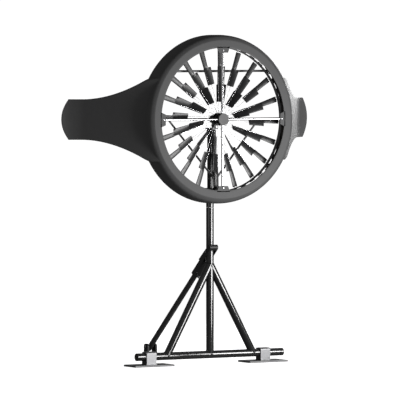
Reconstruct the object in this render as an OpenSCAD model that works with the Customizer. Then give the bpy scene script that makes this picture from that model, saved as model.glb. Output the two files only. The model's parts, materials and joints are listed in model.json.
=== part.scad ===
// Small shrouded wind turbine on a tilting tripod base.
// Origin: centre of the mast at ground level. +X to the right seen from the
// wind side, +Y to the rear (downwind), +Z up.

/* [Rotor and cowl] */
// Height of the rotor axis above the ground
hub_z = 2660; // [2600:10:2900]
// Distance of the cowl's front face in front of the mast axis
cowl_offset = 286; // [286:1:300]
// Radius of the air opening in the cowl's front face
opening_r = 772; // [768:1:776]
// Largest outside radius of the cowl
cowl_r = 913; // [908:1:918]
// Front to back depth of the cowl
cowl_depth = 240; // [230:1:242]
// Wall thickness of the moulded cowl
cowl_wall = 6; // [5:0.5:7]
// Chord of a blade over its outer step
chord_tip = 58; // [48:1:60]
// Chord of a blade over its middle step
chord_mid = 82; // [76:1:88]
// Chord of a blade over its inner step
chord_root = 104; // [96:1:108]
// Pitch of the outer step, measured from the rotor plane
pitch_tip = 8; // [6:1:12]
// Pitch of the middle step
pitch_mid = 18; // [14:1:22]
// Pitch of the inner step
pitch_root = 44; // [38:1:46]

/* [Fins] */
// Angle of the straight part of a fin from the rotor axis
fin_angle = 41; // [38:1:44]
// Length of the straight part of a fin
fin_run = 665; // [640:5:680]
// Radius of the outward flare at the end of a fin
fin_flare_r = 384; // [370:1:400]
// Half height of a fin over its outer part
fin_half_h = 219; // [205:1:230]
// Thickness of a fin
fin_t = 14; // [10:1:16]

/* [Stand] */
// Diameter of the mast, the base tube and the two side braces
tube_d = 84; // [80:1:86]
// Wall thickness of those tubes
tube_wall = 4; // [3:0.5:6]
// Height of the base tube's axis
base_z = 103; // [100:1:110]
// Half length of the base tube over its caps
base_half = 922; // [880:1:960]
// Height where the side braces meet the mast
brace_z = 1087; // [1040:1:1110]
// Distance of each brace's foot from the mast
brace_x = 545; // [500:1:560]
// Place of the left front foot along the base tube
foot_left_x = -762; // [-790:1:-720]
// Place of the right front foot along the base tube
foot_right_x = 676; // [660:1:780]
// Length of a front foot plate
plate_l = 486; // [440:1:500]
// Width of a front foot plate
plate_w = 258; // [220:1:280]
// Thickness of a front foot plate
plate_t = 20; // [18:1:22]
// Width of a saddle clamp along the tube
clamp_w = 120; // [110:1:130]

/* [Rear strut] */
// Height of the strut's pivot on the mast
pivot_z = 1220; // [1215:1:1230]
// Slope of the strut below the horizontal
strut_angle = 40.5; // [40.2:0.1:41]
// Length from the upper pivot to the clevis pin
strut_len = 1693; // [1685:1:1700]
// Diameter of the telescopic leg
leg_d = 60; // [56:1:60]

/* [Hidden] */
$fn = 72;
yf = -cowl_offset;             // front face of the cowl
yr = yf + cowl_depth;          // rear edge of the cowl
rotor_y = yf + 89;             // plane of the rotor
frame_y = yf + 205;            // plane of the rear frame tubes
tr = tube_d / 2;
run = 0.05;                    // radial running clearance
n_blades = 20;
yoke_hw = tr + 8;              // half width of the yoke over its cheeks
pin_y = strut_len * cos(strut_angle);
pin_z = pivot_z - strut_len * sin(strut_angle);
rim_r = opening_r + 2;         // inner radius of the rotor rim
rim_t = 4;
spoke_r = 1.75;
spindle_r = 17.5;
split_z = 1703;                // where the turning head starts on the mast
tab_t = 8;
cross_y = yf + 22;             // axis of the front cross tubes
cross_r = 13.5;
bar_r = 12.5;

// ---------- helpers ----------
module tube_x(x0, x1, r, wall, y = 0, z = 0) {
  translate([x0, y, z]) rotate([0, 90, 0]) difference() {
    cylinder(h = x1 - x0, r = r);
    if (wall > 0) translate([0, 0, -1]) cylinder(h = x1 - x0 + 2, r = r - wall);
  }
}
module rod_y(y0, y1, r, fn = 72) {
  translate([0, y1, 0]) rotate([90, 0, 0]) cylinder(h = y1 - y0, r = r, $fn = fn);
}
// ring lying in the rotor plane: inner and outer radius, front and rear y
module ring_y(ri, ro, y0, y1, fn = 240) {
  translate([0, y1, 0]) rotate([90, 0, 0]) rotate_extrude($fn = fn)
    translate([ri, 0]) square([ro - ri, y1 - y0]);
}
module at_hub() { translate([0, 0, hub_z]) children(); }
// strut frame: +Y runs down the strut from the upper pivot
module strut_frame() { translate([0, 0, pivot_z]) rotate([-strut_angle, 0, 0]) children(); }
// a cylinder from point a to point b
module rod_ab(a, b, r) {
  d = b - a;
  l = norm(d);
  translate(a) rotate([0, acos(d[2] / l), atan2(d[1], d[0])]) cylinder(h = l, r = r);
}

// ---------- stand ----------
module base_tube() {
  color([0.04, 0.04, 0.045]) tube_x(-base_half + 4, base_half - 4, tr, tube_wall, 0, base_z);
}
module base_end_caps() {
  color([0.06, 0.06, 0.065]) for (s = [-1, 1])
    translate([s * (base_half - 4), 0, base_z]) rotate([0, s * 90, 0]) {
      cylinder(h = 4, r = tr);
      translate([0, 0, -24]) difference() {
        cylinder(h = 24.5, r = tr - tube_wall - 0.2);
        translate([0, 0, -1]) cylinder(h = 22, r = tr - tube_wall - 4);
      }
    }
}
module mast() {
  color([0.04, 0.04, 0.045]) difference() {
    translate([0, 0, base_z]) cylinder(h = split_z - 3 - base_z, r = tr);
    translate([0, 0, base_z - 1]) cylinder(h = split_z + 10 - base_z, r = tr - tube_wall);
    tube_x(-tr - 10, tr + 10, tr + 0.15, 0, 0, base_z);
    tube_x(-tr - 10, tr + 10, 8 + run, 0, 0, pivot_z);
  }
}
module mast_brace(s) {
  difference() {
    rod_ab([0, 0, brace_z], [s * brace_x, 0, base_z], tr);
    rod_ab([0, 0, brace_z], [s * brace_x, 0, base_z], tr - tube_wall);
    translate([0, 0, base_z]) cylinder(h = brace_z, r = tr + 0.15);
    tube_x(-base_half, base_half, tr + 0.15, 0, 0, base_z);
    translate([s > 0 ? -400 : 0, -100, base_z]) cube([400, 200, brace_z]);
    translate([-base_half, -100, base_z - 200]) cube([2 * base_half, 200, 200]);
  }
}
module mast_brace_left() { color([0.04, 0.04, 0.045]) mast_brace(-1); }
module mast_brace_right() { color([0.04, 0.04, 0.045]) mast_brace(1); }
module yaw_spindle() {
  color([0.55, 0.56, 0.58]) {
    translate([0, 0, 1600]) cylinder(h = split_z - 3 - 1600, r = tr - tube_wall - 0.2);
    translate([0, 0, split_z - 4]) cylinder(h = 2440 - split_z + 4, r = spindle_r);
  }
}
module slip_ring_drum() {
  color([0.72, 0.55, 0.25]) translate([0, 0, 2440]) {
    cylinder(h = 60, r = 11);
    for (k = [0:2]) translate([0, 0, 10 + 16 * k]) cylinder(h = 8, r = 12.5);
  }
}

// ---------- front feet ----------
plate_hx = plate_l / 2 - 33;
plate_hy = plate_w / 2 - 34;
leg_y = tr + run + 5.9;
module foot_plate(x) {
  translate([x, 0, 0]) difference() {
    translate([-plate_l / 2, -plate_w / 2, 0]) cube([plate_l, plate_w, plate_t]);
    for (sx = [-1, 1], sy = [-1, 1]) {
      translate([sx * plate_hx, sy * plate_hy, -1]) cylinder(h = plate_t + 2, r = 7);
      translate([sx * 40, sy * leg_y, -1]) cylinder(h = plate_t + 2, r = 4.4);
      translate([sx * 40, sy * leg_y, -1]) cylinder(h = 10, r = 7.5);
    }
  }
}
module tube_clamp(x) {
  translate([x, 0, 0]) difference() {
    translate([-clamp_w / 2, 0, 0]) rotate([90, 0, 90]) linear_extrude(clamp_w) {
      translate([-tr - 12, plate_t]) square([2 * tr + 24, base_z + tr - 8 - plate_t]);
      translate([8 - tr, plate_t]) square([2 * tr - 16, base_z + tr + 12 - plate_t]);
      for (s = [-1, 1]) translate([s * (tr - 8), base_z + tr - 8]) circle(r = 20);
    }
    translate([-clamp_w, -tr - run, -1]) cube([2 * clamp_w, 2 * tr + 2 * run, base_z + 1]);
    tube_x(-clamp_w, clamp_w, tr + run, 0, 0, base_z);
    translate([-clamp_w, -100, -100]) cube([2 * clamp_w, 200, 100 + plate_t]);
    for (sx = [-1, 1], sy = [-1, 1])
      translate([sx * 40, sy * leg_y, plate_t - 1]) cylinder(h = 31, r = 4.02);
  }
}
module tube_cradle(x) {
  translate([x, 0, 0]) difference() {
    translate([-clamp_w / 2, -tr + 0.3, plate_t]) cube([clamp_w, 2 * tr - 0.6, base_z - plate_t - 12]);
    tube_x(-clamp_w, clamp_w, tr + run, 0, 0, base_z);
  }
}
module clamp_bolts(x) {
  translate([x, 0, 0]) for (sx = [-1, 1], sy = [-1, 1]) translate([sx * 40, sy * leg_y, 0]) {
    translate([0, 0, 9]) cylinder(h = plate_t + 19, r = 4);
    difference() {
      translate([0, 0, 1]) cylinder(h = 8, r = 6.5);
      translate([0, 0, 0]) cylinder(h = 5, r = 3.4, $fn = 6);
    }
  }
}
module foot_plate_left() { color([0.42, 0.42, 0.43]) foot_plate(foot_left_x); }
module foot_plate_right() { color([0.42, 0.42, 0.43]) foot_plate(foot_right_x); }
module tube_clamp_left() { color([0.62, 0.62, 0.63]) tube_clamp(foot_left_x); }
module tube_clamp_right() { color([0.62, 0.62, 0.63]) tube_clamp(foot_right_x); }
module tube_cradle_left() { color([0.1, 0.1, 0.1]) tube_cradle(foot_left_x); }
module tube_cradle_right() { color([0.1, 0.1, 0.1]) tube_cradle(foot_right_x); }
module clamp_bolts_left() { color([0.6, 0.6, 0.62]) clamp_bolts(foot_left_x); }
module clamp_bolts_right() { color([0.6, 0.6, 0.62]) clamp_bolts(foot_right_x); }

// ---------- rear strut ----------
module strut_yoke() {
  color([0.12, 0.12, 0.125]) difference() {
    union() {
      strut_frame() translate([0, -80, -4]) rotate([0, 90, 0]) cylinder(h = 2 * yoke_hw, r = 30, center = true);
      strut_frame() translate([-yoke_hw, 0, 0]) rotate([90, 0, 90]) linear_extrude(2 * yoke_hw)
        polygon([[-80, -34], [205, -35], [205, 35], [150, 35], [-80, 26]]);
      strut_frame() translate([-35, 150, -35]) cube([70, 262, 70]);
    }
    // room for the mast at every angle of the strut
    translate([-tr - 1.6, -68, pivot_z - 150]) cube([2 * tr + 3.2, 146, 300]);
    strut_frame() rod_y(185, 450, leg_d / 2 + run);
    tube_x(-yoke_hw - 1, yoke_hw + 1, 8 + run, 0, 0, pivot_z);
    // shoulders: the cheeks end where the square sleeve starts
    strut_frame() for (s = [-1, 1]) translate([s > 0 ? 35 : -135, 175, -80]) cube([100, 300, 160]);
    // tapped hole for the lock screw
    strut_frame() translate([0, 378, -60]) cylinder(h = 40, r = 6);
  }
}
module strut_pivot_bolt() {
  color([0.5, 0.5, 0.52]) translate([0, 0, pivot_z]) rotate([0, 90, 0]) {
    cylinder(h = 2 * yoke_hw + 16, r = 8, center = true);
    for (s = [-1, 1]) translate([0, 0, s * (yoke_hw + 6)]) cylinder(h = 10, r = 13, center = true, $fn = 6);
  }
}
module strut_lock_screw() {
  color([0.5, 0.5, 0.52]) strut_frame() translate([0, 378, 0]) {
    translate([0, 0, -58]) cylinder(h = 27.5, r = 5.95);
    translate([0, 0, -68]) cylinder(h = 10, r = 9.5, $fn = 6);
  }
}
module strut_leg() {
  color([0.08, 0.08, 0.085]) strut_frame() difference() {
    rod_y(232, strut_len + 50, leg_d / 2);
    rod_y(220, strut_len - 60, leg_d / 2 - 4);
    translate([0, strut_len, 0]) rotate([0, 90, 0]) cylinder(h = 100, r = 10 + run, center = true);
  }
}
module rear_clevis() {
  color([0.25, 0.25, 0.26]) difference() {
    translate([0, pin_y, 0]) union() {
      translate([-80, -80, 0]) cube([160, 160, 16]);
      for (s = [-1, 1]) translate([s * 51 - 10, 0, 0]) {
        translate([0, -45, 15]) cube([20, 90, pin_z - 15]);
        for (t = [-1, 1]) translate([0, t * 15, pin_z]) rotate([0, 90, 0]) cylinder(h = 20, r = 30);
        translate([0, -15, 15]) cube([20, 30, pin_z + 15]);
      }
    }
    translate([0, pin_y, pin_z]) rotate([0, 90, 0]) cylinder(h = 200, r = 10 + 0.02, center = true);
    for (sx = [-1, 1], sy = [-1, 1])
      translate([sx * 58, pin_y + sy * 58, -1]) cylinder(h = 30, r = 7);
  }
}
module clevis_pin() {
  color([0.5, 0.5, 0.52]) translate([0, pin_y, pin_z]) rotate([0, 90, 0]) {
    cylinder(h = 136, r = 10, center = true);
    translate([0, 0, -70]) cylinder(h = 8, r = 15);
    translate([0, 0, 62]) cylinder(h = 8, r = 15, $fn = 6);
  }
}
module clevis_bushes() {
  color([0.16, 0.16, 0.165]) for (s = [-1, 1]) translate([s * 35.8, pin_y, pin_z]) rotate([0, 90, 0]) difference() {
    cylinder(h = 9.6, r = 16, center = true);
    cylinder(h = 20, r = 10.02, center = true);
  }
}

// ---------- head frame and yaw ----------
yaw_top = hub_z - 108;
module yaw_housing() {
  color([0.04, 0.04, 0.045]) difference() {
    translate([0, 0, split_z]) cylinder(h = 137, r = tr);
    translate([0, 0, split_z - 1]) cylinder(h = 46, r = 36);
    translate([0, 0, split_z + 40]) cylinder(h = 100, r = 30.15);
  }
}
module yaw_tube() {
  color([0.06, 0.06, 0.065]) difference() {
    translate([0, 0, split_z + 45]) cylinder(h = yaw_top - split_z - 45, r = 30.1);
    translate([0, 0, split_z]) cylinder(h = yaw_top - split_z - 6, r = 26.1);
  }
}
module bearing_z(z, h, ri, ro) {
  translate([0, 0, z]) difference() {
    cylinder(h = h, r = ro);
    translate([0, 0, -1]) cylinder(h = h + 2, r = ri);
    for (q = [-1, h - 1.5]) translate([0, 0, q]) difference() {
      cylinder(h = 2.5, r = ro - 3);
      translate([0, 0, -1]) cylinder(h = 5, r = ri + 3);
    }
  }
}
module yaw_bearing_lower() { color([0.7, 0.7, 0.72]) bearing_z(split_z + 1, 34, spindle_r + run, 35.98); }
module yaw_bearing_upper() { color([0.7, 0.7, 0.72]) bearing_z(2390, 24, spindle_r + run, 26.08); }
module slip_ring_brushes() {
  color([0.15, 0.13, 0.12]) translate([0, 0, 2446]) difference() {
    cylinder(h = 52, r = 26);
    translate([0, 0, -1]) cylinder(h = 60, r = 14);
  }
}
// the head strut leans: its foot is further forward than its top
hs_top = [0, frame_y + 3, hub_z - 112];
hs_bot = [0, yf + 172, hub_z - 752];
module head_strut() {
  color([0.07, 0.07, 0.075]) difference() {
    rod_ab(hs_bot, hs_top, 24);
    rod_ab(hs_bot - [0, 0, 1], hs_top + [0, 0, -30], 20.5);
  }
}
module head_top_bracket() {
  color([0.05, 0.05, 0.055]) difference() {
    union() {
      translate([-37, hs_top[1] - 32, yaw_top - 1]) cube([74, 37 - hs_top[1] + 32, 13]);
      translate([0, 0, yaw_top - 44]) cylinder(h = 44, r = 37);
      translate([0, hs_top[1], yaw_top + 11]) cylinder(h = hub_z - 30 - yaw_top - 11, r = 22);
    }
    at_hub() rod_y(frame_y - 60, frame_y + 60, 44.1);
    translate([0, 0, yaw_top - 60]) cylinder(h = 60, r = 30.15);
    translate([-60, hs_top[1] - 24.5, yaw_top - 60]) cube([120, 49, 56]);
  }
}
module head_lower_bracket() {
  z = hub_z - 812;
  color([0.05, 0.05, 0.055]) difference() {
    union() {
      translate([-46, yf + 142, z - 8]) cube([92, -yf - 142 + 40, 72]);
      translate([-120, yf + 142, z - 73]) cube([240, 98, 81]);
    }
    translate([0, 0, z - 60]) cylinder(h = 200, r = 30.15);
    translate([0, 0, z - 60]) cylinder(h = 62, r = tr + 0.3);
    rod_ab(hs_bot, hs_top, 24.2);
    translate([0, 0, hub_z]) rotate([90, 0, 0]) difference() {
      cylinder(h = 800, r = 2000, center = true, $fn = 240);
      cylinder(h = 900, r = cowl_r - cowl_wall - 29.4, center = true, $fn = 240);
    }
  }
}
module hub_carrier() {
  color([0.05, 0.05, 0.055]) at_hub() difference() {
    union() {
      rod_y(frame_y - 24, frame_y + 26, 44);
      translate([-58, frame_y - 16, -17]) cube([116, 32, 34]);
    }
    rod_y(frame_y - 60, frame_y + 60, 12.53);
    for (s = [-1, 1]) translate([s * 60, frame_y, 0]) rotate([0, 90, 0]) cylinder(h = 40, r = bar_r + 0.02, center = true);
  }
}
module main_shaft() {
  color([0.6, 0.6, 0.62]) at_hub() rod_y(yf + 1, frame_y + 50, 12.5);
}
module shaft_nut() {
  color([0.6, 0.6, 0.62]) at_hub() difference() {
    rod_y(frame_y + 26, frame_y + 42, 22, 6);
    rod_y(frame_y, frame_y + 60, 12.53);
  }
}
module hub_cap() {
  color([0.38, 0.38, 0.38]) at_hub() difference() {
    union() {
      rod_y(yf - 10, yf + 2, 64, 120);
      rod_y(yf + 1, yf + 40, 52);
    }
    rod_y(yf + 1, yf + 60, 12.53);
    for (a = [0:90:270]) rotate([0, a, 0]) translate([0, cross_y, 30]) cylinder(h = 60, r = cross_r + 0.02);
  }
}
module cross_tube(a) {
  color([0.85, 0.85, 0.86]) at_hub() rotate([0, a, 0]) translate([0, cross_y, 31]) difference() {
    cylinder(h = opening_r - 12 - 31, r = cross_r);
    translate([0, 0, -1]) cylinder(h = opening_r, r = cross_r - 2.5);
    translate([0, 0, opening_r - 12 - 31 - 18]) rotate([90, 0, 0]) cylinder(h = 40, r = 3, center = true);
  }
}
module cross_tube_top() { cross_tube(0); }
module cross_tube_bottom() { cross_tube(180); }
module cross_tube_left() { cross_tube(270); }
module cross_tube_right() { cross_tube(90); }
bar_end = cowl_r - cowl_wall - 6;
module rear_bar(s) {
  color([0.3, 0.3, 0.31]) at_hub()
    tube_x(s > 0 ? 40.5 : -bar_end, s > 0 ? bar_end : -40.5, bar_r, 2.5, frame_y, 0);
}
module rear_bar_left() { rear_bar(-1); }
module rear_bar_right() { rear_bar(1); }
top_bar_z = 520;
top_bar_x = sqrt(bar_end * bar_end - (top_bar_z + bar_r) * (top_bar_z + bar_r));
module rear_top_bar() {
  color([0.3, 0.3, 0.31]) at_hub() tube_x(-top_bar_x, top_bar_x, bar_r, 2.5, frame_y, top_bar_z);
}
hs_dir = (hs_top - hs_bot) / (hs_top[2] - hs_bot[2]);
rb_low = hs_bot + hs_dir * (hub_z - 660 - hs_bot[2]);
module rear_brace(s) {
  color([0.3, 0.3, 0.31]) difference() {
    rod_ab([s * 572, frame_y, hub_z], rb_low, 11);
    rod_ab([s * 572, frame_y, hub_z], rb_low, 8.5);
    rod_ab(hs_bot, hs_top, 24.3);
    at_hub() tube_x(-900, 900, bar_r + 0.3, 0, frame_y, 0);
    translate([s > 0 ? -100 : 0, -200, hub_z - 760]) cube([100, 200, 200]);
  }
}
module rear_brace_left() { rear_brace(-1); }
module rear_brace_right() { rear_brace(1); }

// ---------- cowl ----------
shoulder = [[0, 0], [25, 14], [42, 32], [51, 57], [56, 84], [58, 114]];
edge_r = cowl_r - 58;
function inset(p) = [p[0] - (p[1] < 60 ? cowl_wall * 0.72 : cowl_wall), p[1] + (p[1] < 60 ? cowl_wall * 0.8 : 0)];
module cowl_shell() {
  color([0.22, 0.22, 0.225]) at_hub() union() {
    translate([0, yf, 0]) rotate([-90, 0, 0]) rotate_extrude($fn = 300) polygon(concat(
      [[opening_r, 0]],
      [for (p = shoulder) [edge_r + p[0], p[1]]],
      [[cowl_r, cowl_depth], [cowl_r - cowl_wall, cowl_depth]],
      [for (k = [len(shoulder) - 1:-1:1]) [edge_r + inset(shoulder[k])[0], inset(shoulder[k])[1]]],
      [[edge_r - 2, cowl_wall], [opening_r, cowl_wall]]));
    for (a = [0:90:270]) rotate([0, a, 0]) difference() {
      translate([0, yf + tab_t, 0]) rotate([90, 0, 0]) linear_extrude(tab_t)
        polygon([[-58, opening_r - 52], [58, opening_r - 52], [83, opening_r + 14], [-83, opening_r + 14]]);
      translate([0, yf, opening_r - 30]) rotate([90, 0, 0]) cylinder(h = 60, r = 3.2, center = true);
    }
  }
}
module cowl_rear_ring() {
  color([0.2, 0.2, 0.205]) at_hub() ring_y(cowl_r - cowl_wall - 29, cowl_r - cowl_wall - 0.3, yr - 22, yr - 8);
}
module cowl_screws() {
  color([0.5, 0.5, 0.52]) at_hub() for (a = [0:90:270]) rotate([0, a, 0]) {
    translate([0, yf - 2, opening_r - 30]) rotate([-90, 0, 0]) cylinder(h = 28, r = 2.9);
    translate([0, yf - 2.5, opening_r - 30]) rotate([-90, 0, 0]) cylinder(h = 2.4, r = 6);
  }
}
// fin: a vertical sheet, straight then flaring outwards, cut to the side outline
fx = cowl_r;
fy = yf + 173;
sx_ = sin(fin_angle);
cy_ = cos(fin_angle);
fp1 = [fx + sx_ * fin_run, fy + cy_ * fin_run];
fc = [fp1[0] + fin_flare_r * cy_, fp1[1] - fin_flare_r * sx_];
tip_x = fc[0] - fin_flare_r * cos(78);
tip_arc = 391;
function fin_h(s) = fin_half_h + 189 * pow(1 - min(s, 680) / 680, 1.9);
function fin_pt(s) = [fx + sx_ * s, fin_h(s)];
fin_side = concat(
  [for (s = [-100:65:680]) fin_pt(s)],
  [for (k = [12:-1:-12]) let (a = k / 12 * asin(fin_half_h / tip_arc)) [tip_x - tip_arc + tip_arc * cos(a), tip_arc * sin(a)]],
  [for (s = [680:-65:-100]) [fin_pt(s)[0], -fin_pt(s)[1]]]);
module fin_plan() {
  translate([fx, fy]) rotate(90 - fin_angle) translate([-150, -fin_t / 2]) square([fin_run + 150.01, fin_t]);
  translate(fc) intersection() {
    difference() {
      circle(r = fin_flare_r + fin_t / 2, $fn = 180);
      circle(r = fin_flare_r - fin_t / 2, $fn = 180);
    }
    polygon([[0, 0], 600 * [cos(180 - fin_angle), sin(180 - fin_angle)], 600 * [cos(120), sin(120)], 600 * [cos(96), sin(96)]]);
  }
}
module fin() {
  at_hub() {
    difference() {
      intersection() {
        translate([0, 0, -500]) linear_extrude(1000) fin_plan();
        translate([0, 700, 0]) rotate([90, 0, 0]) linear_extrude(1400) polygon(fin_side);
      }
      rod_y(-600, 200, cowl_r + 6, 300);
    }
    difference() {
      intersection() {
        ring_y(cowl_r + 0.3, cowl_r + 7, yf + 118, yr - 4, 300);
        translate([600, -600, -480]) cube([600, 700, 960]);
      }
      for (k = [-1, -0.33, 0.33, 1]) rotate([0, k * 26, 0]) translate([cowl_r, yf + 136, 0]) rotate([0, 90, 0]) cylinder(h = 60, r = 3.3, center = true);
    }
  }
}
module fin_right() { color([0.22, 0.22, 0.225]) fin(); }
module fin_left() { color([0.22, 0.22, 0.225]) mirror([1, 0, 0]) fin(); }
module fin_screws() {
  color([0.5, 0.5, 0.52]) at_hub() for (s = [0, 180], k = [-1, -0.33, 0.33, 1])
    rotate([0, s + k * 26, 0]) translate([cowl_r + 7, yf + 136, 0]) rotate([0, 90, 0]) cylinder(h = 2.5, r = 6.5);
}
module stator_ring() {
  color([0.16, 0.16, 0.165]) at_hub() union() {
    ring_y(cowl_r - 68, cowl_r - 56, rotor_y - 24, rotor_y + 30);
    ring_y(cowl_r - 57, cowl_r - cowl_wall - 3, rotor_y + 25, rotor_y + 30);
  }
}
module stator_coils() {
  color([0.45, 0.24, 0.1]) at_hub() for (k = [0:35]) rotate([0, k * 10, 0])
    translate([-48, rotor_y - 20, cowl_r - 104]) cube([96, 42, 33]);
}

// ---------- rotor ----------
module hub_barrel() {
  color([0.12, 0.12, 0.125]) at_hub() difference() {
    union() {
      rod_y(rotor_y - 38, rotor_y + 50, 50);
      rod_y(rotor_y - 34, rotor_y - 28, 68);
      rod_y(rotor_y + 34, rotor_y + 40, 68);
    }
    rod_y(rotor_y - 60, rotor_y + 80, 17);
    rod_y(rotor_y - 60, rotor_y - 22, 26.1);
    rod_y(rotor_y + 34, rotor_y + 80, 26.1);
  }
}
module hub_bearing(y) {
  color([0.7, 0.7, 0.72]) at_hub() difference() {
    rod_y(y, y + 15, 26.08);
    rod_y(y - 5, y + 20, 12.5 + run);
    for (q = [-1, 13.5]) difference() {
      rod_y(y + q, y + q + 2.5, 22.5);
      rod_y(y + q - 1, y + q + 4, 15.5);
    }
  }
}
module hub_bearing_front() { hub_bearing(rotor_y - 37.5); }
module hub_bearing_rear() { hub_bearing(rotor_y + 34.5); }
module rotor_rim() {
  color([0.8, 0.8, 0.81]) at_hub() ring_y(rim_r, rim_r + rim_t, rotor_y - 27, rotor_y + 27);
}
module rim_magnets() {
  color([0.3, 0.3, 0.32]) at_hub() for (k = [0:39]) rotate([0, k * 9 + 4.5, 0])
    translate([-30, rotor_y - 20, rim_r + rim_t + 0.2]) cube([60, 40, 10]);
}
module spokes() {
  color([0.8, 0.8, 0.81]) at_hub() for (k = [0:n_blades - 1], x = [3, 33]) rotate([0, k * 360 / n_blades, 0])
    translate([x, rotor_y + 18 - (x - 30) * tan(pitch_tip), 44]) cylinder(h = rim_r - 44.5, r = spoke_r, $fn = 16);
}
// one step of a blade: a cambered plate between two radii
module blade_step(r0, r1, c, b) {
  rr = 2.2 * c;                 // camber radius
  h = sqrt(rr * rr - c * c / 4);
  x0 = -8;                      // the straight edge stays on this line
  mx = x0 + c * cos(b) / 2;
  translate([0, 0, r0]) linear_extrude(r1 - r0)
    translate([mx, rotor_y + 18 - (mx - 30) * tan(b)]) rotate(-b) translate([0, h - c / 16])
      intersection() {
        difference() {
          circle(r = rr + 2.2, $fn = 120);
          circle(r = rr - 2.2, $fn = 120);
        }
        translate([-c / 2, -rr - 10]) square([c, rr * 0.6]);
      }
}
module blade(long) {
  blade_step(572, 760, chord_tip, pitch_tip);
  blade_step(long ? 374 : 383, 574, chord_mid, pitch_mid);
  if (long) blade_step(187, 376, chord_root, pitch_root);
}
module blades_long() {
  color([0.2, 0.2, 0.205]) at_hub() for (k = [0:2:n_blades - 1]) rotate([0, k * 360 / n_blades, 0]) blade(true);
}
module blades_short() {
  color([0.2, 0.2, 0.205]) at_hub() for (k = [1:2:n_blades - 1]) rotate([0, k * 360 / n_blades, 0]) blade(false);
}

base_tube();
base_end_caps();
mast();
mast_brace_left();
mast_brace_right();
yaw_spindle();
slip_ring_drum();
foot_plate_left();
tube_clamp_left();
tube_cradle_left();
clamp_bolts_left();
foot_plate_right();
tube_clamp_right();
tube_cradle_right();
clamp_bolts_right();
strut_yoke();
strut_pivot_bolt();
strut_lock_screw();
strut_leg();
rear_clevis();
clevis_pin();
clevis_bushes();
yaw_housing();
yaw_tube();
yaw_bearing_lower();
yaw_bearing_upper();
slip_ring_brushes();
head_top_bracket();
head_lower_bracket();
head_strut();
hub_carrier();
main_shaft();
shaft_nut();
hub_cap();
cross_tube_top();
cross_tube_bottom();
cross_tube_left();
cross_tube_right();
rear_bar_left();
rear_bar_right();
rear_top_bar();
rear_brace_left();
rear_brace_right();
cowl_shell();
cowl_rear_ring();
cowl_screws();
fin_left();
fin_right();
fin_screws();
stator_ring();
stator_coils();
hub_barrel();
hub_bearing_front();
hub_bearing_rear();
rotor_rim();
rim_magnets();
spokes();
blades_long();
blades_short();
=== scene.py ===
import json
import math

import bmesh
import bpy
from mathutils import Matrix, Vector


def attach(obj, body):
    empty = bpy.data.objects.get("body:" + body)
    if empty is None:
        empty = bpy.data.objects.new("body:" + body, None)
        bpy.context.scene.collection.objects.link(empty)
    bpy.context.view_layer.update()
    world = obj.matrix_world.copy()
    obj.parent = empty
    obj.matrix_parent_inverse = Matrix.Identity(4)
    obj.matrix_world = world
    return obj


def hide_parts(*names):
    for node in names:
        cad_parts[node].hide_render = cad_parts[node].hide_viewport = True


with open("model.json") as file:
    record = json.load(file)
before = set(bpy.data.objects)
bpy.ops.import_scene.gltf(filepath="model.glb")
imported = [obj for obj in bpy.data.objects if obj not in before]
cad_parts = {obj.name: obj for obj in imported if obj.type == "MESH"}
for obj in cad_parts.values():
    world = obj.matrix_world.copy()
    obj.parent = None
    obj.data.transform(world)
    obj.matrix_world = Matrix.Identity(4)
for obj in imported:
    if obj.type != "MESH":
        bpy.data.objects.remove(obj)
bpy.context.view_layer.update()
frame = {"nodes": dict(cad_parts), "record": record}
scene = bpy.context.scene
NODES = frame["nodes"]
pi, sin, cos = math.pi, math.sin, math.cos

HUB = 2.66
YF = -0.286
YR = -0.046
ROTOR_Y = -0.197
FRAME_Y = -0.081
OPEN_R = 0.772
COWL_R = 0.913


# ------------------------------------------------------------------ materials
def node(t, kind, **sockets):
    n = t.nodes.new(kind)
    for k, v in sockets.items():
        n.inputs[k.replace("_", " ")].default_value = v
    return n


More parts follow.
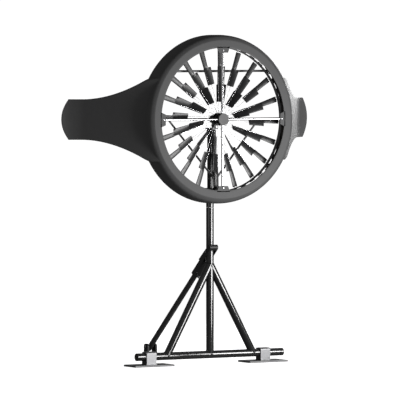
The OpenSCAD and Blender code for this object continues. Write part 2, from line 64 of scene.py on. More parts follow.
def material(name, dark, light, rough=(0.35, 0.5), metallic=0.0, cloud=1.6, grain=420.0,
             bump=0.12, bump_dist=0.0006, wear=0.0, wear_col=(0.5, 0.5, 0.5), dust=0.0,
             coat=0.0, coat_rough=0.05, spec=0.5, stretch=(1, 1, 1), scuff=0.0):
    """A procedural finish: slow colour drift, fine grain, worn convex edges, dust that settles on upward faces."""
    m = bpy.data.materials.new(name)
    m.use_nodes = True
    t = m.node_tree
    t.nodes.clear()
    out = t.nodes.new("ShaderNodeOutputMaterial")
    b = t.nodes.new("ShaderNodeBsdfPrincipled")
    b.inputs["Metallic"].default_value = metallic
    b.inputs["Specular IOR Level"].default_value = spec
    b.inputs["Coat Weight"].default_value = coat
    b.inputs["Coat Roughness"].default_value = coat_rough
    t.links.new(b.outputs[0], out.inputs[0])
    co = t.nodes.new("ShaderNodeTexCoord")
    mp = t.nodes.new("ShaderNodeMapping")
    mp.inputs["Scale"].default_value = stretch
    t.links.new(co.outputs["Object"], mp.inputs[0])

    slow = node(t, "ShaderNodeTexNoise", Scale=cloud, Detail=4.0, Roughness=0.55)
    fine = node(t, "ShaderNodeTexNoise", Scale=grain, Detail=3.0, Roughness=0.6)
    mid = node(t, "ShaderNodeTexNoise", Scale=cloud * 14, Detail=6.0, Roughness=0.65)
    for n in (slow, fine, mid):
        t.links.new(mp.outputs[0], n.inputs["Vector"])

    mix = t.nodes.new("ShaderNodeMath")
    mix.operation = "MULTIPLY_ADD"
    mix.inputs[1].default_value = 0.35
    t.links.new(mid.outputs[0], mix.inputs[0])
    s2 = t.nodes.new("ShaderNodeMath")
    s2.operation = "MULTIPLY"
    s2.inputs[1].default_value = 0.65
    t.links.new(slow.outputs[0], s2.inputs[0])
    t.links.new(s2.outputs[0], mix.inputs[2])
    ramp = t.nodes.new("ShaderNodeValToRGB")
    ramp.color_ramp.elements[0].position = 0.36
    ramp.color_ramp.elements[0].color = (*dark, 1)
    ramp.color_ramp.elements[1].position = 0.64
    ramp.color_ramp.elements[1].color = (*light, 1)
    t.links.new(mix.outputs[0], ramp.inputs[0])
    colour = ramp.outputs[0]

    if wear > 0:
        geo = t.nodes.new("ShaderNodeNewGeometry")
        edge = node(t, "ShaderNodeMapRange")
        edge.inputs["From Min"].default_value = 0.53
        edge.inputs["From Max"].default_value = 0.66
        t.links.new(geo.outputs["Pointiness"], edge.inputs[0])
        em = t.nodes.new("ShaderNodeMath")
        em.operation = "MULTIPLY"
        t.links.new(edge.outputs[0], em.inputs[0])
        t.links.new(mid.outputs[0], em.inputs[1])
        ew = t.nodes.new("ShaderNodeMath")
        ew.operation = "MULTIPLY"
        ew.inputs[1].default_value = wear
        t.links.new(em.outputs[0], ew.inputs[0])
        mw = t.nodes.new("ShaderNodeMix")
        mw.data_type = "RGBA"
        mw.inputs[7].default_value = (*wear_col, 1)
        t.links.new(ew.outputs[0], mw.inputs[0])
        t.links.new(colour, mw.inputs[6])
        colour = mw.outputs[2]
    if dust > 0:
        geo = t.nodes.new("ShaderNodeNewGeometry")
        sep = t.nodes.new("ShaderNodeSeparateXYZ")
        t.links.new(geo.outputs["Normal"], sep.inputs[0])
        up = node(t, "ShaderNodeMapRange")
        up.inputs["From Min"].default_value = 0.55
        up.inputs["From Max"].default_value = 1.0
        t.links.new(sep.outputs[2], up.inputs[0])
        dm = t.nodes.new("ShaderNodeMath")
        dm.operation = "MULTIPLY"
        t.links.new(up.outputs[0], dm.inputs[0])
        t.links.new(mid.outputs[0], dm.inputs[1])
        d2 = t.nodes.new("ShaderNodeMath")
        d2.operation = "MULTIPLY"
        d2.inputs[1].default_value = dust
        t.links.new(dm.outputs[0], d2.inputs[0])
        md = t.nodes.new("ShaderNodeMix")
        md.data_type = "RGBA"
        md.inputs[7].default_value = (0.32, 0.31, 0.29, 1)
        t.links.new(d2.outputs[0], md.inputs[0])
        t.links.new(colour, md.inputs[6])
        colour = md.outputs[2]
    t.links.new(colour, b.inputs["Base Color"])

    rr = node(t, "ShaderNodeMapRange")
    rr.inputs["From Min"].default_value = 0.35
    rr.inputs["From Max"].default_value = 0.65
    rr.inputs["To Min"].default_value = rough[0]
    rr.inputs["To Max"].default_value = rough[1]
    t.links.new(mix.outputs[0], rr.inputs[0])
    rough_out = rr.outputs[0]
    if scuff > 0:
        sc = node(t, "ShaderNodeTexNoise", Scale=38.0, Detail=8.0, Roughness=0.8)
        t.links.new(mp.outputs[0], sc.inputs["Vector"])
        sr = node(t, "ShaderNodeMapRange")
        sr.inputs["From Min"].default_value = 0.56
        sr.inputs["From Max"].default_value = 0.72
        sr.inputs["To Max"].default_value = scuff
        t.links.new(sc.outputs[0], sr.inputs[0])
        ad = t.nodes.new("ShaderNodeMath")
        ad.operation = "ADD"
        t.links.new(rough_out, ad.inputs[0])
        t.links.new(sr.outputs[0], ad.inputs[1])
        rough_out = ad.outputs[0]
    t.links.new(rough_out, b.inputs["Roughness"])

    bp = t.nodes.new("ShaderNodeBump")
    bp.inputs["Strength"].default_value = bump
    bp.inputs["Distance"].default_value = bump_dist
    t.links.new(fine.outputs[0], bp.inputs["Height"])
    t.links.new(bp.outputs[0], b.inputs["Normal"])
    return m


M = {
    "stand_gloss_black": material("m_stand_gloss_black", (0.0016, 0.0016, 0.0018), (0.0035, 0.0035, 0.0038), (0.09, 0.12), bump=0.004,
                                  grain=300, bump_dist=0.0001, coat=0.5, coat_rough=0.03, spec=0.55, wear=0.1, dust=0.004, scuff=0.02),
    "head_black": material("m_head_black", (0.003, 0.003, 0.0033), (0.007, 0.007, 0.0075), (0.2, 0.3), bump=0.05, wear=0.15, dust=0.01),
    "cap_plastic": material("m_cap_plastic", (0.01, 0.01, 0.01), (0.018, 0.018, 0.018), (0.4, 0.55), bump=0.2),
    "foot_plate_steel": material("m_foot_plate_steel", (0.1, 0.1, 0.103), (0.17, 0.17, 0.173), (0.42, 0.6), metallic=0.55, cloud=5,
                                 bump=0.25, wear=0.5, scuff=0.12, stretch=(0.3, 1, 1)),
    "clamp_alloy": material("m_clamp_alloy", (0.17, 0.17, 0.175), (0.25, 0.25, 0.255), (0.34, 0.46), metallic=0.75, cloud=7, bump=0.2, wear=0.4),
    "strut_matt_black": material("m_strut_matt_black", (0.009, 0.009, 0.0095), (0.016, 0.016, 0.0165), (0.42, 0.58), bump=0.35, grain=700,
                                 wear=0.5, wear_col=(0.2, 0.2, 0.2), dust=0.03),
    "fastener_steel": material("m_fastener_steel", (0.34, 0.34, 0.35), (0.55, 0.55, 0.56), (0.25, 0.42), metallic=1.0, cloud=20, bump=0.2),
    "bearing_steel": material("m_bearing_steel", (0.5, 0.5, 0.51), (0.66, 0.66, 0.67), (0.16, 0.3), metallic=1.0, cloud=16, bump=0.1),
    "polished_steel": material("m_polished_steel", (0.6, 0.6, 0.61), (0.78, 0.78, 0.79), (0.16, 0.22), metallic=1.0, cloud=6, bump=0.01,
                               bump_dist=0.0001, grain=260, scuff=0.03),
    "frame_tube": material("m_frame_tube", (0.05, 0.05, 0.052), (0.09, 0.09, 0.093), (0.35, 0.5), bump=0.15, wear=0.3),
    "cowl_plastic": material("m_cowl_plastic", (0.082, 0.082, 0.083), (0.096, 0.096, 0.097), (0.5, 0.6), cloud=1.1, bump=0.04, grain=900, spec=0.25,
                             wear=0.12, wear_col=(0.2, 0.2, 0.2), dust=0.03, scuff=0.03),
    "hub_cap_grey": material("m_hub_cap_grey", (0.05, 0.05, 0.05), (0.07, 0.07, 0.0705), (0.42, 0.55), cloud=8, bump=0.25, wear=0.3),
    "hub_black": material("m_hub_black", (0.02, 0.02, 0.021), (0.045, 0.045, 0.046), (0.3, 0.42), metallic=0.6, cloud=12, bump=0.15, wear=0.3),
    "magnet": material("m_magnet", (0.012, 0.012, 0.013), (0.03, 0.03, 0.032), (0.35, 0.5), metallic=0.3, cloud=14, bump=0.2),
    "coil": material("m_coil", (0.018, 0.010, 0.007), (0.045, 0.024, 0.014), (0.35, 0.55), metallic=0.2, cloud=10, bump=0.4, grain=260, stretch=(1, 1, 6)),
    "contact_brass": material("m_contact_brass", (0.45, 0.31, 0.12), (0.62, 0.45, 0.18), (0.2, 0.35), metallic=1.0, cloud=18, bump=0.1),
    "brush_block": material("m_brush_block", (0.03, 0.028, 0.026), (0.06, 0.055, 0.05), (0.5, 0.65), cloud=14, bump=0.3),
    "blade_plastic": material("m_blade_plastic", (0.012, 0.012, 0.0125), (0.021, 0.021, 0.022), (0.3, 0.42), cloud=4, spec=0.45, bump=0.2, grain=700,
                              wear=0.25, wear_col=(0.2, 0.2, 0.2), scuff=0.05),
    "rim_satin": material("m_rim_satin", (0.16, 0.16, 0.163), (0.24, 0.24, 0.244), (0.48, 0.58), metallic=0.7, cloud=8, bump=0.02),
    "weld": material("m_weld_black", (0.002, 0.002, 0.0022), (0.005, 0.005, 0.0055), (0.2, 0.35), cloud=40, bump=0.3, grain=300, coat=0.4, coat_rough=0.1),
}

slot_of = {s["node"]: s["material_slot"] for s in frame["record"]["subparts"]}
for name, o in NODES.items():
    o.data.materials.clear()
    o.data.materials.append(M[slot_of[name]])


def soften(name, width, angle=40, seg=2):
    """Small rounded edges on a carried-over CAD node."""
    o = NODES[name]
    w = o.modifiers.new("weld", "WELD")
    w.merge_threshold = 1e-5
    b = o.modifiers.new("bevel", "BEVEL")
    b.width = width
    b.segments = seg
    b.limit_method = "ANGLE"
    b.angle_limit = math.radians(angle)
    b.harden_normals = False
    n = o.modifiers.new("wn", "WEIGHTED_NORMAL")
    n.keep_sharp = True


for n in ("foot_plate_left", "foot_plate_right"):
    soften(n, 0.002)
for n in ("tube_clamp_left", "tube_clamp_right"):
    soften(n, 0.0028)
for n in ("strut_yoke", "rear_clevis"):
    soften(n, 0.003)
for n in ("hub_cap", "hub_carrier"):
    soften(n, 0.0018)


# ------------------------------------------------------------------ mesh helpers
def obj_from(name, verts, faces, slot, body, smooth=True, replaces=(), sharp=None):
    me = bpy.data.meshes.new(name)
    me.from_pydata([tuple(v) for v in verts], [], faces)
    bm = bmesh.new()
    bm.from_mesh(me)
    bmesh.ops.remove_doubles(bm, verts=bm.verts, dist=1e-6)
    bmesh.ops.recalc_face_normals(bm, faces=bm.faces)
    bm.to_mesh(me)
    bm.free()
    if smooth:
        me.polygons.foreach_set("use_smooth", [True] * len(me.polygons))
        if sharp:
            me.set_sharp_from_angle(angle=math.radians(sharp))
    me.materials.append(M[slot])
    o = bpy.data.objects.new(name, me)
    scene.collection.objects.link(o)
    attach(o, body)
    if replaces:
        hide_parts(*replaces)
    return o


def grid_faces(rows, cols, base=0, wrap_rows=False, wrap_cols=False):
    f = []
    for i in range(rows if wrap_rows else rows - 1):
        for j in range(cols if wrap_cols else cols - 1):
            a = base + i * cols + j
            b = base + i * cols + (j + 1) % cols
            c = base + ((i + 1) % rows) * cols + (j + 1) % cols
            d = base + ((i + 1) % rows) * cols + j
            f.append((a, b, c, d))
    return f


def round_poly(pts, radii, n=5):
    """A closed outline with each corner rounded by its own radius."""
    out = []
    k = len(pts)
    for i, p in enumerate(pts):
        p = Vector(p)
        a, b = Vector(pts[i - 1]), Vector(pts[(i + 1) % k])
        r = radii[i]
        if r <= 0:
            out.append(p)
            continue
        u, v = (a - p).normalized(), (b - p).normalized()
        ang = u.angle(v)
        t = min(r / math.tan(ang / 2), (a - p).length * 0.49, (b - p).length * 0.49)
        s, e = p + u * t, p + v * t
        for j in range(n + 1):
            q = j / n
            out.append((1 - q) ** 2 * s + 2 * q * (1 - q) * p + q * q * e)
    return out


# ------------------------------------------------------------------ cowl
def spline(ctrl, per):
    out = []
    P = [Vector(c) for c in ctrl]
    P = [2 * P[0] - P[1]] + P + [2 * P[-1] - P[-2]]
    for i in range(1, len(P) - 2):
        a, b, c, d = P[i - 1:i + 3]
        for j in range(per):
            t = j / per
            out.append(0.5 * ((2 * b) + (c - a) * t + (2 * a - 5 * b + 4 * c - d) * t * t + (3 * b - a - 3 * c + d) * t ** 3))
    out.append(P[-2])
    return out


edge_r = COWL_R - 0.058
shoulder = [(edge_r + x, y) for x, y in ((0.0, 0.0), (0.0125, 0.0062), (0.025, 0.0145), (0.0345, 0.0225), (0.0425, 0.0335), (0.0472, 0.0442),
                                       (0.0508, 0.0570), (0.0538, 0.0705), (0.0560, 0.0840), (0.0572, 0.0985), (0.0580, 0.114))]
outer = spline(shoulder, 4)
# profile in (r, y from the front face): opening lip, flat face, a crisp edge, the shoulder, the side, the rear lip
face = [Vector((OPEN_R, 0.006)), Vector((OPEN_R, 0.0022)), Vector((OPEN_R + 0.0007, 0.0007)), Vector((OPEN_R + 0.0022, 0.0)),
        Vector((OPEN_R + 0.02, 0.0)), Vector((edge_r - 0.02, 0.0)), Vector((edge_r - 0.003, 0.0)), Vector((edge_r - 0.0012, 0.0001))]
side = [Vector((COWL_R, y)) for y in (0.15, 0.19, 0.232, 0.2372)]
rear = [Vector((COWL_R - 0.0008, 0.2392)), Vector((COWL_R - 0.003, 0.24)), Vector((COWL_R - 0.0052, 0.2392)), Vector((COWL_R - 0.006, 0.2372))]
inner = [Vector((COWL_R - 0.006, 0.19)), Vector((COWL_R - 0.006, 0.114))]
inner += [Vector((p.x - (0.0045 if p.y < 0.06 else 0.0058), p.y + (0.0048 if p.y < 0.06 else 0.001))) for p in reversed(outer[4:-1])]
inner += [Vector((edge_r - 0.002, 0.006)), Vector((OPEN_R + 0.004, 0.006))]
prof = face + outer[1:] + side + rear + inner
SEG = 480
verts = []
for i in range(SEG):
    a = 2 * pi * i / SEG
    for p in prof:
        verts.append((p.x * sin(a), YF + p.y, HUB + p.x * cos(a)))
faces = grid_faces(SEG, len(prof), wrap_rows=True, wrap_cols=True)
# the four tabs that carry the cross tubes
for q in range(4):
    ca, sa = cos(q * pi / 2), sin(q * pi / 2)
    ring = round_poly([(-0.058, 0.720), (0.058, 0.720), (0.083, 0.7835), (-0.083, 0.7835)], [0.006, 0.006, 0, 0])
    base = len(verts)
    for y, inset in ((YF + 0.0, 0.0012), (YF + 0.0012, 0.0), (YF + 0.0068, 0.0), (YF + 0.008, 0.0012)):
        for p in ring:
            c = Vector((0, 0.752))
            d = (c - p)
            w = p + d.normalized() * inset
            verts.append((w.x * ca + w.y * sa, y, HUB - w.x * sa + w.y * ca))
    n = len(ring)
    for k in range(3):
        for j in range(n):
            a0 = base + k * n + j
            b0 = base + k * n + (j + 1) % n
            faces.append((a0, b0, b0 + n, a0 + n))
    faces.append(tuple(base + j for j in range(n)))
    faces.append(tuple(base + 3 * n + j for j in reversed(range(n))))
cowl = obj_from("cowl_body", verts, faces, "cowl_plastic", "head", replaces=("cowl_shell",), sharp=38)

# ------------------------------------------------------------------ fins
ANG = math.radians(41)
FX, FY = COWL_R, YF + 0.173
RUN, FLARE, FT = 0.665, 0.384, 0.014
SX, CY = sin(ANG), cos(ANG)
P1 = Vector((FX + SX * RUN, FY + CY * RUN))
FC = Vector((P1.x + FLARE * CY, P1.y - FLARE * SX))
TIPX = FC.x - FLARE * cos(math.radians(78))
TIPARC = 0.391


def half_h(s):
    return 0.219 + 0.189 * (1 - min(s, 0.68) / 0.68) ** 1.9


def plan(s):
    """Point and outward (front) normal of the fin's middle line at distance s from the cowl."""
    if s <= RUN:
        return Vector((FX + SX * s, FY + CY * s)), Vector((CY, -SX))
    a = (pi - ANG) - (s - RUN) / FLARE
    return FC + FLARE * Vector((cos(a), sin(a))), -Vector((cos(a), sin(a)))


def s_at_x(x):
    lo, hi = -0.25, RUN + FLARE * math.radians(60)
    for _ in range(48):
        m = (lo + hi) / 2
        if plan(m)[0].x < x:
            lo = m
        else:
            hi = m
    return (lo + hi) / 2


def tip_x(z):
    z = max(-0.219, min(0.219, z))
    return TIPX - TIPARC + math.sqrt(TIPARC ** 2 - z * z)


SIDE = [(YF + p.y, p.x) for p in outer] + [(YR, COWL_R)]


def cowl_r(y):
    """Outside radius of the cowl at depth y."""
    if y <= SIDE[0][0]:
        return SIDE[0][1]
    for (y0, r0), (y1, r1) in zip(SIDE, SIDE[1:]):
        if y <= y1:
            return r0 + (r1 - r0) * (y - y0) / max(y1 - y0, 1e-9)
    return COWL_R


def on_cowl(y, z, sink=0.0):
    r = cowl_r(y) - sink
    return Vector((math.sqrt(max(r * r - z * z, 1e-6)), y, z))


def fin_mesh(name, side, replaced):
    """A closed sheet. Each row runs out of the cowl's side in a tangent curve, then along the fin to its edge."""
    NW, NZ, NA = 96, 36, 5
    LF, LR = 0.105, 0.030            # reach of the blend along the cowl, front and rear
    BF, BR = 0.150, 0.040            # reach of the blend along the fin
    # (height share, side): side 0 is the front face, 1 the rear, between them the rounded edge
    loop = [(-1 + 2 * j / NZ, 0.0) for j in range(NZ + 1)]
    loop += [(1, (k + 1) / (NA + 1)) for k in range(NA)]
    loop += [(1 - 2 * j / NZ, 1.0) for j in range(NZ + 1)]
    loop += [(-1, 1 - (k + 1) / (NA + 1)) for k in range(NA)]
    H2 = FT / 2

    def face(s, t, k):
        """Point on the front (k=1) or rear (k=-1) face at run s and height share t."""
        p, n = plan(s)
        return Vector((p.x + n.x * H2 * k, p.y + n.y * H2 * k, t * (half_h(max(s, -0.08)) - H2)))

    def foot(t, k):
        lo, hi = -0.165, 0.05
        for _ in range(40):
            m = (lo + hi) / 2
            q = face(m, t, k)
            if math.hypot(q.x, q.z) < cowl_r(q.y):
                lo = m
            else:
                hi = m
        return (lo + hi) / 2

    feet = {}
    verts = []
    for i in range(NW + 1):
        w = i / NW
        for t, sd in loop:
            ends = []
            for k in (1, -1):
                key = (t, k)
                if key not in feet:
                    feet[key] = foot(t, k)
                s0 = feet[key]
                L, B = (LF, BF) if k > 0 else (LR, BR)
                s1 = s_at_x(tip_x(t * 0.219))
                if w < 0.25:
                    u = w / 0.25
                    C = face(s0, t, k)
                    ya = C.y - L if k > 0 else min(C.y + L, YR - 0.006)
                    ya = max(ya, YF + 0.012)
                    A = on_cowl(ya, C.z, 0.0015)
                    Bp = face(s0 + B, t, k)
                    q = (1 - u) ** 2 * A + 2 * u * (1 - u) * C + u * u * Bp
                else:
                    u = (w - 0.25) / 0.75
                    u = 1 - (1 - u) ** 1.25
                    s = s0 + B + (s1 - s0 - B) * u
                    q = face(s, t, k)
                    d = s1 - s
                    if d < 0.012:
                        q.z -= math.copysign(1, t) * abs(t) * 0.012 * (1 - math.sqrt(max(1 - (1 - d / 0.012) ** 2, 0)))
                    if d < H2:
                        f = math.sqrt(max(1 - (1 - d / H2) ** 2, 0))
                        p, n = plan(s)
                        m = Vector((p.x, p.y, q.z))
                        q = m + (q - m) * max(f, 0.02)
                ends.append(q)
            a, b = ends
            if abs(t) == 1:
                mid = (a + b) / 2
                half = (a - b) / 2
                q = mid + half * cos(pi * sd)
                bulge = min(half.length, H2)
                q.z += math.copysign(1, t) * bulge * sin(pi * sd) * min(1.0, w / 0.25)
            else:
                q = a if sd == 0 else b
            verts.append((side * q.x, q.y, HUB + q.z))
    cols = len(loop)
    faces = grid_faces(NW + 1, cols, wrap_cols=True)
    faces.append(tuple(range(cols)))
    faces.append(tuple(NW * cols + j for j in reversed(range(cols))))
    return obj_from(name, verts, faces, "cowl_plastic", "head", replaces=(replaced,), sharp=50)


fin_mesh("fin_sheet_right", 1, "fin_right")
fin_mesh("fin_sheet_left", -1, "fin_left")


# ------------------------------------------------------------------ blades
def section(c, b, thick, xl):
    """A cambered, round-nosed section: closed loop of (x, y) points, chord c, pitch b, straight edge at xl."""
    rr = 2.2 * c
    h = math.sqrt(rr * rr - c * c / 4)
    top, bot = [], []
    N = 12
    for i in range(N + 1):
        u = 0.5 - 0.5 * cos(pi * i / N)
        x = -c / 2 + c * u
        camber = math.sqrt(rr * rr - x * x) - h
        th = thick * (0.42 + 0.58 * math.sqrt(max(u, 0))) * math.sqrt(max(1 - ((u - 0.5) * 2) ** 16, 0)) / 2
        top.append((x, -camber + c / 16 + th))
        bot.append((x, -camber + c / 16 - th))
    pts = bot + top[::-1]
    mx = xl + c * cos(b) / 2
    out = []
    for x, y in pts:
        X = x * cos(b) + y * sin(b)
        Y = -x * sin(b) + y * cos(b)
        out.append((mx + X, BLADE_Y + Y))
    return out


D = math.radians
BLADE_Y = ROTOR_Y + 0.018
# each panel's (radius, chord, pitch, straight edge) at its inner and outer end
STEP = {"root": ((0.187, 0.086, D(47), -0.007), (0.375, 0.114, D(43), -0.006)),
        "mid": ((0.375, 0.075, D(22), -0.005), (0.573, 0.086, D(14), -0.004)),
        "tip": ((0.572, 0.052, D(8), -0.005), (0.762, 0.064, D(5), -0.008))}


def blade_sections(long):
    r_mid0 = 0.374 if long else 0.383
    S = []

    def add(r, kind, f=1.0, th=0.0052):
        lo, hi = STEP[kind]
        q = min(max((r - lo[0]) / (hi[0] - lo[0]), 0.0), 1.0)
        c, b, xl = (lo[j] + (hi[j] - lo[j]) * q for j in (1, 2, 3))
        S.append((r, c * f, b, th, xl))

    def ends(r0, r1, kind, first, last):
        if first:
            for k in range(5):
                a = k / 4 * pi / 2
                add(r0 + 0.006 * (1 - cos(a)), kind, 1 - 0.10 * (1 - sin(a)), 0.0052 * (0.25 + 0.75 * sin(a)))
        else:
            add(r0 + 0.004, kind)
        n = 6
        for k in range(1, n):
            add(r0 + (r1 - r0) * k / n, kind)
        if last:
            for k in range(4, -1, -1):
                a = k / 4 * pi / 2
                add(r1 - 0.006 * (1 - cos(a)), kind, 1 - 0.10 * (1 - sin(a)), 0.0052 * (0.25 + 0.75 * sin(a)))
        else:
            add(r1 - 0.001, kind)

    if long:
        ends(0.187, 0.374, "root", True, False)
    ends(r_mid0, 0.572, "mid", not long, False)
    ends(0.572, 0.762, "tip", False, True)
    return S


def blade_set(name, ks, long, replaced):
    verts, faces = [], []
    S = blade_sections(long)
    for k in ks:
        a = k * 2 * pi / 20
        ca, sa = cos(a), sin(a)
        base = len(verts)
        for r, c, b, th, xl in S:
            for x, y in section(c, b, th, xl):
                verts.append((x * ca + r * sa, y, HUB - x * sa + r * ca))
        n = len(section(0.1, 0.3, 0.005, 0.0))
        faces += grid_faces(len(S), n, base=base, wrap_cols=True)
        faces.append(tuple(base + j for j in range(n)))
        faces.append(tuple(base + (len(S) - 1) * n + j for j in reversed(range(n))))
    return obj_from(name, verts, faces, "blade_plastic", "rotor", replaces=(replaced,), sharp=42)


blade_set("blade_set_long", range(0, 20, 2), True, "blades_long")
blade_set("blade_set_short", range(1, 20, 2), False, "blades_short")


# ------------------------------------------------------------------ rotor rim with rolled edges
def ring_obj(name, prof, slot, body, replaces=(), seg=360, sharp=40):
    verts = []
    for i in range(seg):
        a = 2 * pi * i / seg
        for r, y in prof:
            verts.append((r * sin(a), y, HUB + r * cos(a)))
    return obj_from(name, verts, grid_faces(seg, len(prof), wrap_rows=True, wrap_cols=True), slot, body, replaces=replaces, sharp=sharp)


rim = [(r, ROTOR_Y + y) for r, y in ((0.7744, -0.0270), (0.7740, -0.0264), (0.7740, -0.0200), (0.7747, 0.0), (0.7740, 0.0200),
                                   (0.7740, 0.0264), (0.7744, 0.0270), (0.7776, 0.0270), (0.7780, 0.0264), (0.7780, -0.0264), (0.7776, -0.0270))]
rim_o = ring_obj("rim_band", rim, "polished_steel", "rotor", replaces=("rotor_rim",))
rim_o.data.materials[0] = M["rim_satin"]


# ------------------------------------------------------------------ spoke wires, and spoke nipples at the rim
def lathe_on(name, places, prof, slot, body, seg=16):
    """Turned pieces: each place is (origin, axis), the profile is (radius, height along the axis)."""
    verts, faces = [], []
    for o, ax in places:
        ax = Vector(ax).normalized()
        u = ax.orthogonal().normalized()
        v = ax.cross(u)
        base = len(verts)
        for r, h in prof:
            for k in range(seg):
                a = 2 * pi * k / seg
                verts.append(Vector(o) + ax * h + (u * cos(a) + v * sin(a)) * r)
        faces += grid_faces(len(prof), seg, base=base, wrap_cols=True)
        faces.append(tuple(base + j for j in range(seg)))
        faces.append(tuple(base + (len(prof) - 1) * seg + j for j in reversed(range(seg))))
    return obj_from(name, verts, faces, slot, body, sharp=40)


def spoke_wires():
    verts, faces = [], []
    for k in range(20):
        a = k * 2 * pi / 20
        ca, sa = cos(a), sin(a)
        inner = 0.196 if k % 2 == 0 else 0.392
        for x in (0.003, 0.033):
            y = BLADE_Y - (x - 0.030) * math.tan(D(8))
            for r0, r1 in (((0.044, 0.575), (0.757, 0.7738)) if x < 0.01 else ((0.044, inner), (0.757, 0.7738))):
                base = len(verts)
                n = 10
                steps = [r0 + (r1 - r0) * j / 6 for j in range(7)]
                for r in steps:
                    for q in range(n):
                        g = 2 * pi * q / n
                        xx, yy = x + 0.00175 * cos(g), y + 0.00175 * sin(g)
                        verts.append((xx * ca + r * sa, yy, HUB - xx * sa + r * ca))
                faces.extend(grid_faces(len(steps), n, base=base, wrap_cols=True))
                faces.append(tuple(base + q for q in range(n)))
                faces.append(tuple(base + 6 * n + q for q in reversed(range(n))))
    return obj_from("spoke_wires", verts, faces, "polished_steel", "rotor", replaces=("spokes",))


spoke_wires()

nip = []
for k in range(20):
    a = k * 2 * pi / 20
    for x in (0.003, 0.033):
        y = BLADE_Y - (x - 0.030) * math.tan(D(8))
        e = Vector((x * cos(a) + 0.7736 * sin(a), y, HUB - x * sin(a) + 0.7736 * cos(a)))
        nip.append((e, (-sin(a), 0, -cos(a))))
lathe_on("spoke_nipples", nip, [(0.0042, 0.0), (0.0042, 0.003), (0.0032, 0.004), (0.0032, 0.009), (0.0022, 0.0102)], "polished_steel", "rotor", 12)

# ------------------------------------------------------------------ screw heads behind the fins' roots
heads = []
for sd in (-1, 1):
    p, n = plan(0.075)
    q = p - n * (FT / 2)
    for z in (-0.33, -0.11, 0.11, 0.33):
        heads.append(((sd * q.x, q.y, HUB + z), (-sd * n.x, -n.y, 0)))
fin_heads = lathe_on("fin_screw_heads", heads, [(0.0065, -0.001), (0.0065, 0.0016), (0.0055, 0.0026), (0.003, 0.0026), (0.0026, 0.001)], "fastener_steel", "head", 16)
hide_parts("fin_screws")

# ------------------------------------------------------------------ weld beads
TR = 0.042


def bead(name, curve, body, r=0.0042, slot="weld"):
    pts = [Vector(p) for p in curve]
    n = len(pts)
    verts = []
    K = 8
    for i, p in enumerate(pts):
        t = (pts[(i + 1) % n] - pts[i - 1]).normalized()
        u = Vector((0, 1, 0)).cross(t)
        if u.length < 0.2:
            u = Vector((1, 0, 0)).cross(t)
        u.normalize()
        v = t.cross(u)
        rr = r * (1 + 0.10 * sin(i * 2 * pi / 3.0))
        for k in range(K):
            a = 2 * pi * k / K
            verts.append(p + (u * cos(a) + v * sin(a)) * rr)
    return obj_from(name, verts, grid_faces(n, K, wrap_rows=True, wrap_cols=True), slot, body)


def brace_curve(s, at_mast):
    A = Vector((0, 1.087))
    B = Vector((s * 0.545, 0.103))
    d = (B - A).normalized()
    n = Vector((s * 0.984, 0.545)).normalized()
    out = []
    N = 150
    for i in range(N):
        f = 2 * pi * i / N
        u, y = (TR + 0.0006) * cos(f), (TR + 0.0006) * sin(f)
        if at_mast:
            t = (s * (TR + 0.0006) * abs(cos(f)) - u * n.x - A.x) / d.x
        else:
            t = (0.103 + (TR + 0.0006) * abs(cos(f)) - u * n.y - A.y) / d.y
        p = A + d * t + n * u
        out.append((p.x, y, p.y))
    return out


for s, nm in ((-1, "left"), (1, "right")):
    bead(f"weld_brace_mast_{nm}", brace_curve(s, True), "stand")
    bead(f"weld_brace_base_{nm}", brace_curve(s, False), "stand")
bead("weld_mast_base", [(TR * cos(f), TR * sin(f), 0.103 + TR * abs(cos(f)) + 0.0008) for f in (2 * pi * i / 150 for i in range(150))], "stand")

# ------------------------------------------------------------------ camera
cam = bpy.data.cameras.new("cam")
cam.lens = 432
cam.sensor_width = 36
cam.clip_start = 1.0
cam.clip_end = 400
co = bpy.data.objects.new("cam", cam)
scene.collection.objects.link(co)
co.location = (-26.667, -44.702, 3.5625)
look = Vector((-0.2182, -0.1564, 1.7895)) - Vector(co.location)
co.rotation_euler = look.to_track_quat("-Z", "Y").to_euler()
scene.camera = co


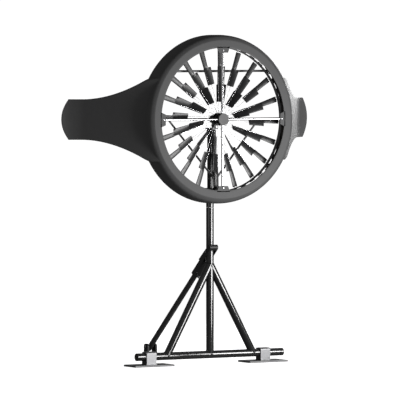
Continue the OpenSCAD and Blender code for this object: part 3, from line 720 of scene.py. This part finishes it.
# ------------------------------------------------------------------ floor and backdrop
def backdrop():
    prof = [(-70.0, 0.0), (-20.0, 0.0), (-6.0, 0.0), (6.0, 0.0), (12.0, 0.0)]
    for k in range(1, 13):
        a = k / 12 * pi / 2
        prof.append((12.0 + 9.0 * sin(a), 9.0 - 9.0 * cos(a)))
    prof += [(21.0, 22.0), (21.0, 40.0)]
    verts = []
    XS = [-60, -20, -5, 0, 5, 20, 60]
    fx, fy = 0.5113, 0.8594
    rx, ry = 0.8594, -0.5113
    for x in XS:
        for d, z in prof:
            verts.append((rx * x + fx * d, ry * x + fy * d, z))
    me = bpy.data.meshes.new("floor")
    me.from_pydata(verts, [], grid_faces(len(XS), len(prof)))
    me.polygons.foreach_set("use_smooth", [True] * len(me.polygons))
    m = bpy.data.materials.new("m_floor")
    m.use_nodes = True
    b = m.node_tree.nodes["Principled BSDF"]
    b.inputs["Base Color"].default_value = (0.9, 0.9, 0.9, 1)
    b.inputs["Roughness"].default_value = 0.9
    b.inputs["Specular IOR Level"].default_value = 0.1
    b.inputs["Emission Color"].default_value = (1, 1, 1, 1)
    b.inputs["Emission Strength"].default_value = 0.93
    me.materials.append(m)
    o = bpy.data.objects.new("floor", me)
    scene.collection.objects.link(o)
    o.visible_glossy = False
    o.visible_diffuse = False
    return o


backdrop()

# ------------------------------------------------------------------ lights
world = bpy.data.worlds.new("w")
world.use_nodes = True
world.node_tree.nodes["Background"].inputs[0].default_value = (1, 1, 1, 1)
world.node_tree.nodes["Background"].inputs[1].default_value = 0.1
scene.world = world


def area(name, loc, target, size, power, size_y=None):
    l = bpy.data.lights.new(name, "AREA")
    l.shape = "RECTANGLE"
    l.size = size
    l.size_y = size_y or size
    l.energy = power
    o = bpy.data.objects.new(name, l)
    scene.collection.objects.link(o)
    o.location = loc
    o.rotation_euler = (Vector(target) - Vector(loc)).to_track_quat("-Z", "Y").to_euler()
    return o


area("strip", (2.05, -5.7, 1.28), (0, 0, 1.28), 1.5, 230, 2.5)
area("key", (3.5, -4.9, 2.0), (0.2, 0, 1.9), 1.1, 100, 1.5)
area("key_low", (3.6, -5.0, 0.8), (0.2, 0, 1.9), 1.1, 85, 0.9)
area("behind_right", (6.0, 3.7, 3.7), (1.0, 0.0, 2.5), 2.4, 240)
area("left_front", (-6.0, -2.6, 2.6), (0, 0, 2.4), 3.0, 22)

scene.view_settings.view_transform = "Standard"
scene.view_settings.look = "None"
